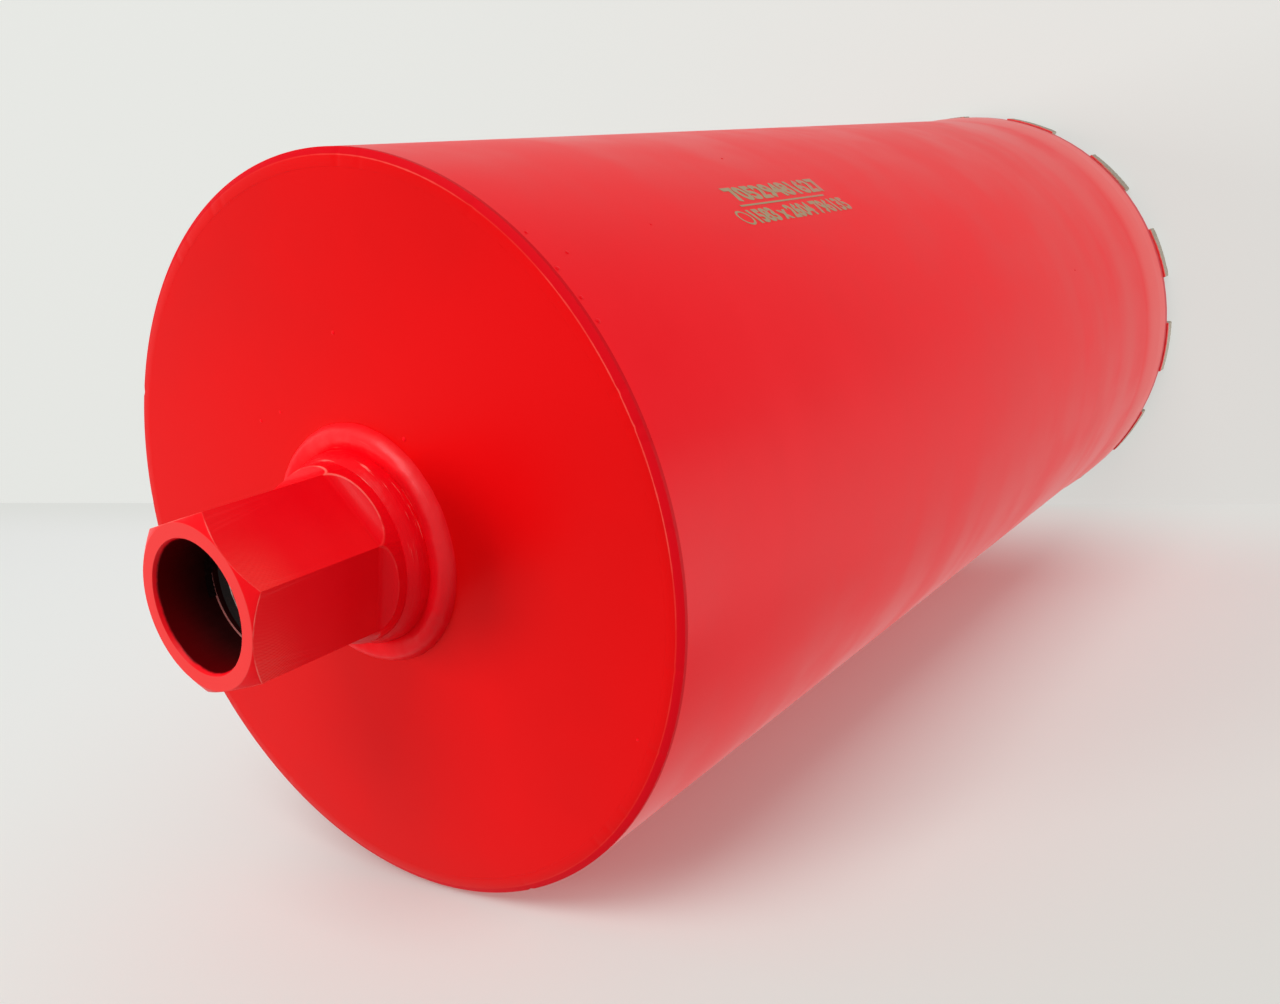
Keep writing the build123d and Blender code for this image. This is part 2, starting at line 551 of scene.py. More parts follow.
class Skin(Sheet):
    """A material in the making, with its colour, roughness and height so far."""

    def __init__(self, name: str) -> None:
        """Starts a new material on its Object coordinates."""
        self.material = bpy.data.materials.new(name)
        self.material.use_nodes = True
        super().__init__(self.material.node_tree)
        self.place = self.get("ShaderNodeTexCoord", "Object")
        self.colour: Value | None = None
        self.rough: Value | None = None
        self.height: Value | None = None

    def grain(self, scale: float, detail: float = 3.0, rough: float = 0.6) -> Value:
        """A noise value at the material's own place."""
        return self.noise(self.place, scale, detail, rough)

    def tint(self, mask: Value, colour: object) -> None:
        """Lays a colour over the one so far."""
        self.colour = self.mix(mask, self.colour, colour)

    def close(self, others: dict | None = None) -> Finish:
        """Ends the material in its shader, with bump if it has a height in metres.

        Args:
            others: The shader's further inputs, by name.

        Returns:
            The material.
        """
        inputs = {"Base Color": self.colour, "Roughness": self.rough, **(others or {})}
        if self.height is not None:
            inputs["Normal"] = self.get("ShaderNodeBump", 0, {"Distance": 1.0, "Height": self.height})
        shader = self.node("ShaderNodeBsdfPrincipled", inputs)
        self.node("ShaderNodeOutputMaterial", {"Surface": shader.outputs[0]})
        return self.material


# ---- Finishes ----


@dataclass(frozen=True)
class Film:
    """The sprayed red film, with what differs from piece to piece."""

    name: str
    full: Colour = (0.84, 0.0, 0.006)
    thin: Colour = (0.88, 0.006, 0.013)
    roughness: float = 0.30
    dull: float = 0.40
    bands: float = 22.0
    blots: float = 30.0
    banding: float = 0.6
    grain: float = 1500.0
    grain_depth: float = 0.012 * MM
    fleck_density: float = 55.0
    fleck_size: float = 0.012
    fleck_rarity: float = 0.86
    fleck_height: float = 0.02 * MM
    fleck_colour: Colour = (0.95, 0.42, 0.36)


def darker_plate_film(name: str) -> Film:
    """The film on the flat end, a deeper red than the tube's as a painted shade for the stronger light there,
    and more even.
    """
    return Film(name, full=(0.63, 0.0005, 0.001), thin=(0.69, 0.001, 0.002), bands=6.0, blots=14.0, banding=0.2)


@dataclass(frozen=True)
class PaintCan:
    """Makes the red paint of each steel piece."""

    effects: Effects
    layout: Layout
    specular: float = 0.10
    coat_roughness: float = 0.42
    flat_reach: float = 20.5 * MM
    face_reach: float = 20.4 * MM
    cone_slope: float = math.tan(math.radians(36))
    run_out_z: float = 431.2 * MM
    run_out_radius: float = 4.4 * MM
    ring_lit_side: float = -162.0
    hub_lit_side: float = -140.0
    mill_pitch: float = 0.62 * MM
    streaks_across: float = 1500.0
    streaks_along: float = 2.2
    ring_slope_shade: Colour = (0.62, 0.0, 0.006)
    ring_edge_highlight: Colour = (0.88, 0.12, 0.09)
    rusty: Colour = (0.10, 0.045, 0.035)
    bare: Colour = (0.22, 0.16, 0.14)
    crown_sheen: Colour = (0.79, 0.055, 0.052)
    flare_highlight: Colour = (0.85, 0.14, 0.13)
    rim_edge_shade: Colour = (0.60, 0.0, 0.012)
    weld_streak_highlight: Colour = (0.95, 0.20, 0.17)
    mill_line_highlight: Colour = (0.95, 0.12, 0.09)
    hub_slope: Colour = (0.80, 0.006, 0.006)
    hub_edge_highlight: Colour = (0.95, 0.16, 0.13)
    hub_face: Colour = (0.78, 0.036, 0.034)
    oil_dark: Colour = (0.010, 0.002, 0.002)
    oil_light: Colour = (0.04, 0.004, 0.004)
    oil_mist: Colour = (0.10, 0.0, 0.001)
    thread_start_highlight: Colour = (0.62, 0.22, 0.20)

    def _begin(self, film: Film) -> Skin:
        """Starts a paint with the marks that every piece has.

        Args:
            film: The film's values.

        Returns:
            The paint so far.
        """
        skin = Skin(film.name)
        place, effects = skin.place, self.effects
        (tone,) = skin.group(effects.drift, Place=place, Bands=film.bands, Blots=film.blots,
                             Banding=film.banding)
        (peel,) = skin.group(effects.peel, Place=place, Grain=film.grain, Depth=film.grain_depth)
        (flecks,) = skin.group(effects.flecks, Place=place, Density=film.fleck_density, Size=film.fleck_size,
                               Rarity=film.fleck_rarity)
        skin.colour = skin.mix(tone, film.full, film.thin)
        skin.tint(flecks, film.fleck_colour)
        skin.rough = tone.rise(0.0, 1.0, film.roughness, film.dull)
        skin.height = peel + flecks * film.fleck_height
        return skin

    def _around(self, skin: Skin) -> list[Value]:
        """Radius, turn and height of a place on the paint."""
        return skin.group(self.effects.polar, Place=skin.place)

    def _close(self, skin: Skin, coat: object = 0.0) -> Finish:
        """Ends a paint in its shader, with a faint sheen and, if wanted, a coat."""
        coating = {"Coat Weight": coat, "Coat Roughness": self.coat_roughness}
        return skin.close({"Specular IOR Level": self.specular, **coating})

    def plain(self, film: Film) -> Finish:
        """Paint with no mark of its own, for the plate and the nibs."""
        return self._close(self._begin(film))

    def ring(self, film: Film) -> Finish:
        """Deep paint of the turned ring, with a painted shade on its chamfer and a painted highlight along its
        inner edge, patchy and strongest on one side.
        """
        skin = self._begin(film)
        radius, turn, level = self._around(skin)
        edge, top = self.layout.tube_radius - 1.8 * MM, self.layout.plate_z
        # Painted highlight: a light line along the inner edge, patchy and strongest on one side.
        line = (abs(radius - edge) + skin.grain(320.0) * (0.25 * MM)).fall(0.16 * MM, 0.36 * MM)
        # Painted shade: the chamfer gets a darker red all round, rougher too.
        slope = radius.rise(edge, edge + 0.3 * MM) * level.rise(top - 2.3 * MM, top - 2.1 * MM)
        skin.tint(slope, self.ring_slope_shade)
        skin.rough += slope * 0.25
        patchy = skin.grain(26.0, 2.0, 0.5).rise(0.40, 0.62, 0.25, 1.0)
        side = skin.facing(turn, self.ring_lit_side).rise(0.45, 0.86, 0.10, 0.50)
        skin.tint(line * (patchy * side), self.ring_edge_highlight)
        return self._close(skin)

    def tube(self, film: Film) -> Finish:
        """Paint of the tube, thinner inside it, with a painted sheen in streaks and a painted highlight on a
        band near the crown, and a painted shade along the rim's edge.
        """
        skin = self._begin(film)
        radius, _, level = self._around(skin)
        bore, rim = self.layout.tube_bore_radius, self.layout.rim_z
        steel = skin.mix(skin.grain(90.0, 4.0), self.rusty, self.bare)
        inside = radius.fall(bore + 0.4 * MM, bore + 1.4 * MM)
        # Painted sheen: pinker streaks that fade out away from the crown.
        flow = skin.noise(skin.stretched(skin.place, (4.0, 4.0, 34.0)), 1.0, 3.0, 0.55)
        near_crown = level.fall(rim + 30 * MM, rim + 230 * MM)
        skin.tint(near_crown * flow.rise(0.32, 0.70, 0.06, 0.62), self.crown_sheen)
        # Painted highlight: a pinker band from the rim up to about 30 mm above it.
        skin.tint(level.rise(rim + 22 * MM, rim + 34 * MM, 0.6, 0.0), self.flare_highlight)
        # Painted shade: a darker red over the lowest few millimetres, at the rim's edge.
        skin.colour = skin.mix(level.rise(rim + 2.8 * MM, rim + 4.4 * MM), self.rim_edge_shade, skin.colour)
        skin.tint(inside * level.rise(rim + 12 * MM, rim + 60 * MM), steel)
        return self._close(skin)

    def weld(self, film: Film) -> Finish:
        """Paint over the hub's weld, with the streaks left by the tool in its bump, a painted highlight on them
        and a stronger coat, both on one side.
        """
        skin = self._begin(film)
        radius, turn, level = self._around(skin)
        (streak,) = skin.group(self.effects.streaks, Radius=radius, Turn=turn, Height=level,
                               Across=self.streaks_across, Along=self.streaks_along)
        bead = self.layout.hub_radius + 2.4 * MM, self.layout.hub_radius + 4.2 * MM
        near = radius.rise(*bead, 1.0, 0.12)
        side = skin.facing(turn, self.hub_lit_side)
        skin.height += streak * (0.10 * MM) * near
        # Painted highlight: light streaks on the bead, on one side only.
        skin.tint(streak.rise(0.62, 0.70) * near * side.rise(0.55, 0.90, 0.05, 0.8), self.weld_streak_highlight)
        return self._close(skin, radius.rise(*bead, 0.0, 0.6) * side.rise(0.1, 0.8, 0.15, 1.0))

    def hub(self, film: Film) -> Finish:
        """Paint of the hub, with milling marks on the flats, painted highlights along its edges and bare oily
        steel in the bore.
        """
        skin = self._begin(film)
        radius, turn, level = self._around(skin)
        top = self.layout.hub_top_z
        sixth = math.pi / 3
        part = skin.math("ROUND", skin.math("DIVIDE", turn - sixth / 2, sixth))
        own = turn - (part * sixth + sixth / 2)
        aside, deep = radius * skin.math("SINE", own), radius * skin.math("COSINE", own)
        flat = deep.fall(self.flat_reach + 0.03 * MM, self.flat_reach + 0.15 * MM)
        flat *= deep.rise(self.flat_reach - 0.13 * MM, self.flat_reach - 0.06 * MM)
        self._mill(skin, flat, aside, level)
        off_cone = abs(level - (top - (radius - self.face_reach) * self.cone_slope))
        skin.tint(off_cone.fall(0.08 * MM, 0.16 * MM) * 0.3, self.hub_slope)
        # Painted highlight: patchy light lines where the flats meet the cone and along the run-out's edge.
        edge_gap = off_cone + skin.grain(400.0) * (0.3 * MM)
        edge_highlit = flat * edge_gap.rise(0.22 * MM, 0.45 * MM, 0.8, 0.0)
        edge_highlit = skin.math("MAXIMUM", edge_highlit, self._scoop_edge(skin, turn, radius, deep, level))
        skin.tint(edge_highlit * skin.grain(90.0).rise(0.44, 0.60, 0.12, 1.0), self.hub_edge_highlight)
        skin.tint(level.rise(top - 0.12 * MM, top - 0.03 * MM), self.hub_face)
        bore = self._bore(skin, radius, level)
        skin.tint(bore, self._oil(skin, level))
        skin.rough = bore.rise(0.0, 1.0, skin.rough, 0.34)
        return self._close(skin)

    def _mill(self, skin: Skin, flat: Value, aside: Value, level: Value) -> None:
        """Adds the curved lines that the milling left on the flats, as bump and as a painted highlight."""
        top = self.layout.hub_top_z
        sweep = skin.reach(aside + 30 * MM, level - (top + 12 * MM))
        ridges = skin.math("SINE", sweep * (2 * math.pi / self.mill_pitch))
        front = level.rise(top - 16 * MM, top - 3 * MM, 0.15, 1.0)
        marks = flat * front * aside.rise(-10 * MM, 6 * MM, 1.0, 0.2)
        skin.height += ridges * marks * (0.012 * MM)
        # Painted highlight: the ridges are drawn lighter.
        skin.tint(skin.math("POWER", abs(ridges), 4.0) * marks * 0.7, self.mill_line_highlight)

    def _scoop_edge(self, skin: Skin, turn: Value, radius: Value, deep: Value, level: Value) -> Value:
        """Mask of the painted highlight on the line where the cutter's run-out leaves the round foot, on one
        side.
        """
        up = level - self.run_out_z
        reach = skin.reach(deep - (self.flat_reach + self.run_out_radius), up)
        line = abs(reach - self.run_out_radius).fall(0.10 * MM, 0.26 * MM)
        foot = radius.rise(self.layout.hub_radius - 0.35 * MM, self.layout.hub_radius - 0.15 * MM)
        side = skin.facing(turn, self.hub_lit_side).rise(0.35, 0.75, 0.08, 1.0)
        return line * (foot * side) * up.rise(-0.6 * MM, 0.0, 0.8, 0.0)

    def _bore(self, skin: Skin, radius: Value, level: Value) -> Value:
        """Mask of the hub's bore, below the lip that the paint reaches."""
        thread, top = self.layout.thread_radius, self.layout.hub_top_z
        edge = level + skin.grain(300.0) * (0.7 * MM)
        return radius.fall(thread + 0.55 * MM, thread + 0.75 * MM) * edge.fall(top - 0.9 * MM, top - 0.3 * MM)

    def _oil(self, skin: Skin, level: Value) -> Value:
        """Colour of the oily bore, redder at its mouth, with a painted highlight where the thread starts."""
        top = self.layout.hub_top_z
        start = self.layout.thread_middle_z + self.layout.thread_length / 2
        oil = skin.mix(skin.grain(260.0, 4.0), self.oil_dark, self.oil_light)
        oil = skin.mix(level.rise(top - 14 * MM, top - 1 * MM), oil, self.oil_mist)
        # Painted highlight: a light band at the height where the thread starts.
        return skin.mix(abs(level - start).fall(0.06 * MM, 0.22 * MM), oil, self.thread_start_highlight)


@dataclass(frozen=True)
class CutSteel:
    """Bare threads in the hub, black with oil, with a painted highlight along their crests."""

    effects: Effects
    crest_radius: float
    dark: Colour = (0.012, 0.005, 0.005)
    light: Colour = (0.03, 0.012, 0.011)
    bright: Colour = (0.72, 0.48, 0.44)
    specular: float = 0.12

    def material(self) -> Finish:
        """Builds the material."""
        skin = Skin("oiled_thread_steel")
        tone = skin.grain(420.0, 4.0).rise(0.40, 0.75)
        ragged = skin.group(self.effects.polar, Place=skin.place)[0] + skin.grain(500.0) * (0.3 * MM)
        crest = ragged.fall(self.crest_radius + 0.15 * MM, self.crest_radius + 0.42 * MM)
        skin.colour = skin.mix(tone, self.dark, self.light)
        # Painted highlight: the crests are lighter and more metallic.
        skin.tint(crest, self.bright)
        skin.rough = tone.rise(0.0, 1.0, 0.22, 0.34)
        skin.height = skin.grain(2600.0, 2.0, 0.5) * (0.01 * MM)
        return skin.close({"Metallic": crest * 0.9, "Specular IOR Level": self.specular})


@dataclass(frozen=True)
class SinteredMatrix:
    """Sintered metal with diamond grit, under red overspray at its root."""

    metal_dark: Colour = (0.21, 0.17, 0.12)
    metal_light: Colour = (0.40, 0.34, 0.27)
    grit: Colour = (0.58, 0.53, 0.42)
    grit_density: float = 1100.0
    paint: Colour = (0.78, 0.008, 0.008)
    bare_height: float = 6.0 * MM
    overspray: float = 1.2 * MM
    drift: float = 5.0 * MM

    def material(self) -> Finish:
        """Builds the material."""
        skin = Skin("sintered_matrix")
        wander = skin.grain(14.0, 1.0, 0.5) - 0.5
        level = skin.split(skin.place)[2] + skin.grain(700.0, 4.0, 0.65) * self.overspray + wander * self.drift
        painted = level.rise(self.bare_height, self.bare_height + self.overspray)
        cells = skin.get("ShaderNodeTexVoronoi", "Distance", {"Vector": skin.place, "Scale": self.grit_density})
        skin.colour = skin.mix(skin.grain(900.0, 4.0), self.metal_dark, self.metal_light)
        skin.tint(cells.fall(0.18, 0.30) * 0.7, self.grit)
        skin.tint(painted, self.paint)
        skin.rough = painted.rise(0.0, 1.0, 0.55, 0.5)
        skin.height = skin.grain(3200.0) * (0.05 * MM)
        return skin.close({"Metallic": painted.rise(0.0, 1.0, 0.55, 0.0)})


@dataclass(frozen=True)
class MarkingInk:
    """Grey-olive print, worn thin in places and more so towards its lower end."""

    ink: Colour = (0.34, 0.25, 0.13)
    worn: Colour = (0.52, 0.13, 0.09)

    def material(self) -> Finish:
        """Builds the material."""
        skin = Skin("marking_ink")
        fade = skin.split(skin.place)[2].rise(262 * MM, 325 * MM, 0.16, 0.0)
        wear = (skin.grain(650.0, 4.0, 0.65) + fade).rise(0.57, 0.74)
        skin.colour = skin.mix(wear, self.ink, self.worn)
        skin.rough = wear.rise(0.0, 1.0, 0.5, 0.42)
        return skin.close()


# ---- The steel body ----


def dress(piece: Piece, material: Finish) -> None:
    """Gives a piece one material in place of what it had."""
    piece.data.materials.clear()
    piece.data.materials.append(material)


def place_piece(piece: Piece, material: Finish, slot: Slot, *stands_for: str) -> None:
    """Dresses a new piece and ties it to the frame.

    Args:
        piece: The finished object, at the origin.
        material: Its finish.
        slot: The record's material slot. Not used.
        stands_for: Names of the nodes that it replaces.
    """
    dress(piece, material)
    if stands_for:
        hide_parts(*stands_for)
    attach(piece, BODY)
    replaced = ", ".join(stands_for) or "nothing"
    LOG.info("%s: %d faces, stands for %s", piece.name, len(piece.data.polygons), replaced)


@dataclass
class SteelBody:
    """Tube, back plate and hub, which keep the shape that the frame gives them."""

    layout: Layout
    cans: PaintCan
    nodes: dict
    edge_round: float = 0.18 * MM
    edge_degrees: float = 24.0
    doubles: float = 0.004 * MM

    def build(self) -> None:
        """Dresses each node and breaks the hub's sharp edges, its mesh untouched."""
        finishes = {
            "barrel": self.cans.tube(Film("tube_paint")),
            "back_plate": self.cans.plain(darker_plate_film("plate_paint")),
            "hub": self.cans.hub(Film("hub_paint")),
        }
        for name, material in finishes.items():
            dress(self.nodes[name], material)
            LOG.info("%s: dressed in %s", name, material.name)
        Bench.add(self.nodes["hub"], "WELD", merge_threshold=self.doubles)
        Bench.add(self.nodes["hub"], "BEVEL", width=self.edge_round, segments=2, limit_method="ANGLE",
                  angle_limit=math.radians(self.edge_degrees), harden_normals=True)


# ---- Welds ----


@dataclass
class HubWeld:
    """The hub's weld of two beads, the outer one round and broad."""

    layout: Layout
    edge: Point2 = (24.15 * MM, 424.6 * MM)
    valley: Point2 = (26.1 * MM, 418.9 * MM)
    inner_bulge: float = 0.62 * MM
    outer_bulge: float = 2.35 * MM
    sunk: float = 0.8 * MM
    lump_size: float = 6.0 * MM
    lump_depth: float = 0.45 * MM
    ripple_size: float = 1.1 * MM
    ripple_depth: float = 0.10 * MM
    steps: int = 288

    def build(self, material: Finish) -> None:
        """Turns the two beads and makes them uneven."""
        toe = (self.layout.bead_radius, self.layout.plate_z)
        inside = self.layout.hub_radius - self.sunk
        outline = [(inside, self.layout.bead_top_z)]
        outline += arc(self.edge, self.valley, self.inner_bulge, steps=10)
        outline += arc(self.valley, toe, self.outer_bulge, steps=16)[1:]
        outline += [(toe[0], toe[1] - self.sunk), (inside, toe[1] - self.sunk)]
        piece = Bench.lathe("hub_weld_beads", outline, self.steps)
        Bench.roughen(piece, clouds("lumps", self.lump_size), self.lump_depth)
        Bench.roughen(piece, clouds("ripples", self.ripple_size), self.ripple_depth)
        Bench.finish(piece, sharp_degrees=60.0)
        place_piece(piece, material, Slot.PAINT, "hub_weld")


@dataclass
class RimWeld:
    """The ring between plate and tube, turned flush, with small nicks on its edges."""

    layout: Layout
    inner: float = 95.4 * MM
    ledge: float = 98.2 * MM
    chamfer: float = 1.0 * MM
    skirt: float = 1.0 * MM
    margin: float = 0.1 * MM
    edge_round: float = 0.28 * MM
    steps: int = 720
    nicks: int = 26
    nick_depth: float = 0.22 * MM
    nick_reach: Point2 = (0.7, 1.6)
    seed: int = 11

    def build(self, material: Finish) -> None:
        """Turns the ring, rounds its edges and presses the nicks in."""
        top, outer = self.layout.plate_z, self.layout.tube_radius
        low = top - self.chamfer
        outline = [(self.inner, top), (self.ledge, top), (outer, low), (outer, low - self.skirt),
                   (self.layout.tube_bore_radius, self.layout.ring_bottom_z)]
        piece = Bench.lathe("rim_weld_ring", outline, self.steps)
        Bench.edit(piece, Pick.EDGE)
        reach, floor = self.ledge - self.margin, low - self.margin
        Bench.pick(piece, lambda place: place.to_2d().length > reach and place.z > floor)
        bpy.ops.mesh.region_to_loop()
        bpy.ops.mesh.bevel(offset=self.edge_round, segments=3, affect="EDGES")
        Bench.leave()
        self._nick(piece)
        Bench.finish(piece, sharp_degrees=40.0)
        place_piece(piece, material, Slot.PAINT, "rim_weld")

    def _nick(self, piece: Piece) -> None:
        """Presses small dents into the two visible edges."""
        dice = random.Random(self.seed)
        spots = []
        for _ in range(self.nicks):
            turn = dice.uniform(-math.pi, math.pi)
            radius = dice.choice((self.ledge, self.layout.tube_radius))
            drop = 0.0 if radius == self.ledge else self.chamfer
            spots.append((polar(radius, turn, self.layout.plate_z - drop), dice.uniform(*self.nick_reach) * MM))
        for vertex in piece.data.vertices:
            for spot, reach in spots:
                near = (vertex.co - spot).length
                if near < reach:
                    press = self.nick_depth * (1 - near / reach)
                    vertex.co.z -= press
                    flat = vertex.co.to_2d()
                    vertex.co.xy = flat * (1 - press / flat.length)


# ---- Crown ----


@dataclass
class Crown:
    """The ring of diamond segments."""

    layout: Layout
    height: float = 7.0 * MM
    thickness: float = 4.2 * MM
    length: float = 24.0 * MM
    turn_degrees: float = 2.5
    edge_round: float = 0.45 * MM
    voxel: float = 0.36 * MM
    grit_size: float = 0.9 * MM
    grit_depth: float = 0.16 * MM

    def build(self, material: Finish) -> None:
        """Models one segment and copies it round the rim."""
        count = len(self.layout.segment_names)
        pattern = self._model()
        grit = clouds("grit", self.grit_size, Relief.STUCCI)
        for index, name in enumerate(self.layout.segment_names):
            segment = Bench.copy(pattern)
            segment.name = f"{name}_sintered"
            segment.data.name = segment.name
            turn = math.radians(self.turn_degrees) + index * 2 * math.pi / count
            segment.data.transform(Matrix.Rotation(turn, 4, "Z"))
            Bench.roughen(segment, grit, self.grit_depth)
            place_piece(segment, material, Slot.MATRIX, name)
        bpy.data.objects.remove(pattern)

    def _model(self) -> Piece:
        """One segment, its middle on +X: a radial section spun along the rim."""
        outer = self.layout.crown_radius
        middle = (outer - self.thickness / 2, 0, self.height / 2)
        piece = Bench.plane("segment_pattern", middle, (self.thickness, self.height))
        Bench.edit(piece, Pick.FACE, whole=True)
        bpy.ops.mesh.spin(steps=12, angle=self.length / outer, center=(0, 0, 0), axis=(0, 0, 1))
        Bench.leave()
        places = [vertex.co for vertex in piece.data.vertices]
        lean = math.atan2(sum(place.y for place in places), sum(place.x for place in places))
        piece.data.transform(Matrix.Rotation(-lean, 4, "Z"))
        Bench.finish(piece)
        Bench.edit(piece, Pick.EDGE)
        bpy.ops.mesh.edges_select_sharp(sharpness=math.radians(40))
        bpy.ops.mesh.bevel(offset=self.edge_round, segments=3, affect="EDGES")
        Bench.modify(piece, "REMESH", mode="VOXEL", voxel_size=self.voxel, use_smooth_shade=True)
        return piece


# ---- Thread ----


@dataclass
class BoreThread:
    """Right-hand thread of the hub, seven turns to the inch."""

    layout: Layout
    pitch: float = 25.4 * MM / 7
    turns: int = 9
    depth: float = 1.95 * MM
    crest: float = 0.45 * MM
    bite: float = 0.06 * MM
    entry_slope: float = 3.0
    steps: int = 72

    def build(self, material: Finish) -> None:
        """Winds the ridge up the bore and chamfers its first turn."""
        radius = self.layout.thread_radius
        start = self.layout.thread_middle_z - self.layout.thread_length / 2 + 0.5 * self.pitch
        root = self.pitch - self.crest
        middle = radius - self.depth / 2 + self.bite / 2
        piece = Bench.plane("hub_thread", (middle, 0, start), (self.depth + self.bite, root))
        Bench.edit(piece)
        Bench.pick(piece, lambda place: place.x < middle)
        bpy.ops.transform.resize(value=(1, 1, self.crest / root), center_override=(0, 0, start))
        bpy.ops.mesh.select_all(action="SELECT")
        bpy.ops.mesh.delete(type="ONLY_FACE")
        Bench.modify(piece, "SCREW", axis="Z", angle=2 * math.pi, screw_offset=self.pitch,
                     iterations=self.turns, steps=self.steps, render_steps=self.steps,
                     use_merge_vertices=False)
        Bench.edit(piece, Pick.EDGE)
        bpy.ops.mesh.select_non_manifold(extend=False, use_boundary=True)
        bpy.ops.mesh.fill_holes(sides=4)
        Bench.leave()
        top = self.layout.thread_middle_z + self.layout.thread_length / 2
        for vertex in piece.data.vertices:
            least = min(radius - max(0.0, top - vertex.co.z) * self.entry_slope, radius)
            flat = vertex.co.to_2d()
            if flat.length < least:
                vertex.co.xy = flat.normalized() * least
        Bench.finish(piece, sharp_degrees=25.0)
        place_piece(piece, material, Slot.PAINT)


# ---- Print ----


@dataclass
class Marking:
    """Plain figures, a rule and a ring, printed on the tube where a size would stand."""

    layout: Layout
    start_z: float = 331.0 * MM
    top_turn_degrees: float = -140.9
    film: float = 0.03 * MM
    lean: float = 0.42
    upper: str = "70529481627"
    upper_left: float = 5.6 * MM
    upper_size: Point2 = (52 * MM, 7.0 * MM)
    lower: str = "1583 x 2604 796135"
    lower_left: float = 1.6 * MM
    lower_size: Point2 = (55 * MM, 6.0 * MM)
    row_gap: float = 3.0 * MM
    rule_left: float = 2.6 * MM
    rule_gap: float = 1.1 * MM
    rule_size: Point2 = (48 * MM, 0.7 * MM)
    ring_middle: float = -2.5 * MM
    ring_radius: float = 2.9 * MM
    ring_width: float = 0.7 * MM
    boldness: float = 0.046
    doubles: float = 0.01 * MM
    lift: float = 0.004 * MM

    def build(self, material: Finish) -> None:
        """Lays the print out flat, then wraps it on the tube."""
        (rule_length, rule_height), lower_height = self.rule_size, self.lower_size[1]
        base = -self.upper_size[1]
        low = base - self.row_gap
        rule = (self.rule_left + rule_length / 2, base - self.rule_gap - rule_height / 2, 0)
        shapes = [
            self._figures(self.upper, (self.upper_left, base), self.upper_size),
            Bench.plane("rule", rule, self.rule_size, tilt=0),
            self._ring((self.ring_middle, low - lower_height / 2, 0)),
            self._figures(self.lower, (self.lower_left, low - lower_height), self.lower_size),
        ]
        piece = Bench.join(shapes, "tube_marking")
        Bench.edit(piece, whole=True)
        bpy.ops.mesh.remove_doubles(threshold=self.doubles)
        bpy.ops.mesh.quads_convert_to_tris()
        bpy.ops.mesh.subdivide(number_cuts=1)
        Bench.leave()
        self._wrap(piece)
        Bench.modify(piece, "SOLIDIFY", thickness=self.film, offset=1.0)
        Bench.finish(piece)
        place_piece(piece, material, Slot.PAINT)

    def _figures(self, text: str, start: Point2, size: Point2) -> Piece:
        """A row of bold figures on the flat sheet.

        Args:
            text: The figures.
            start: Lower left corner of the row, X along the tube and Y round it.
            size: Length of the row and height of its figures.

        Returns:
            The row as a flat mesh.
        """
        Bench.clear()
        bpy.ops.object.text_add()
        row = bpy.context.object
        row.data.body = text
        row.data.offset = self.boldness
        row.data.resolution_u = 3
        bpy.ops.object.convert(target="MESH")
        row = bpy.context.object
        across = [vertex.co.x for vertex in row.data.vertices]
        upward = [vertex.co.y for vertex in row.data.vertices]
        left, bottom = min(across), min(upward)
        stretch = (size[0] / (max(across) - left), size[1] / (max(upward) - bottom), 1, 1)
        row.data.transform(Matrix.Translation((-left, -bottom, 0)))
        row.data.transform(Matrix.Diagonal(stretch))
        row.data.transform(Matrix.Translation((*start, 0)))
        return row

    def _ring(self, middle: Point3) -> Piece:
        """A plain ring on the flat sheet."""
        Bench.clear()
        bpy.ops.mesh.primitive_circle_add(vertices=40, radius=self.ring_radius, fill_type="NGON",
                                          location=middle)
        ring = Bench.named("ring")
        Bench.settle(ring)
        Bench.edit(ring, Pick.FACE, whole=True)
        bpy.ops.mesh.inset(thickness=self.ring_width)
        bpy.ops.mesh.delete(type="FACE")
        return ring

    def _wrap(self, piece: Piece) -> None:
        """Leans the flat sheet and bends it onto the tube."""
        radius = self.layout.tube_radius + self.lift
        for vertex in piece.data.vertices:
            turn = math.radians(self.top_turn_degrees) + vertex.co.y / radius
            height = self.start_z - vertex.co.x + vertex.co.y * self.lean
            vertex.co = polar(radius, turn, height)


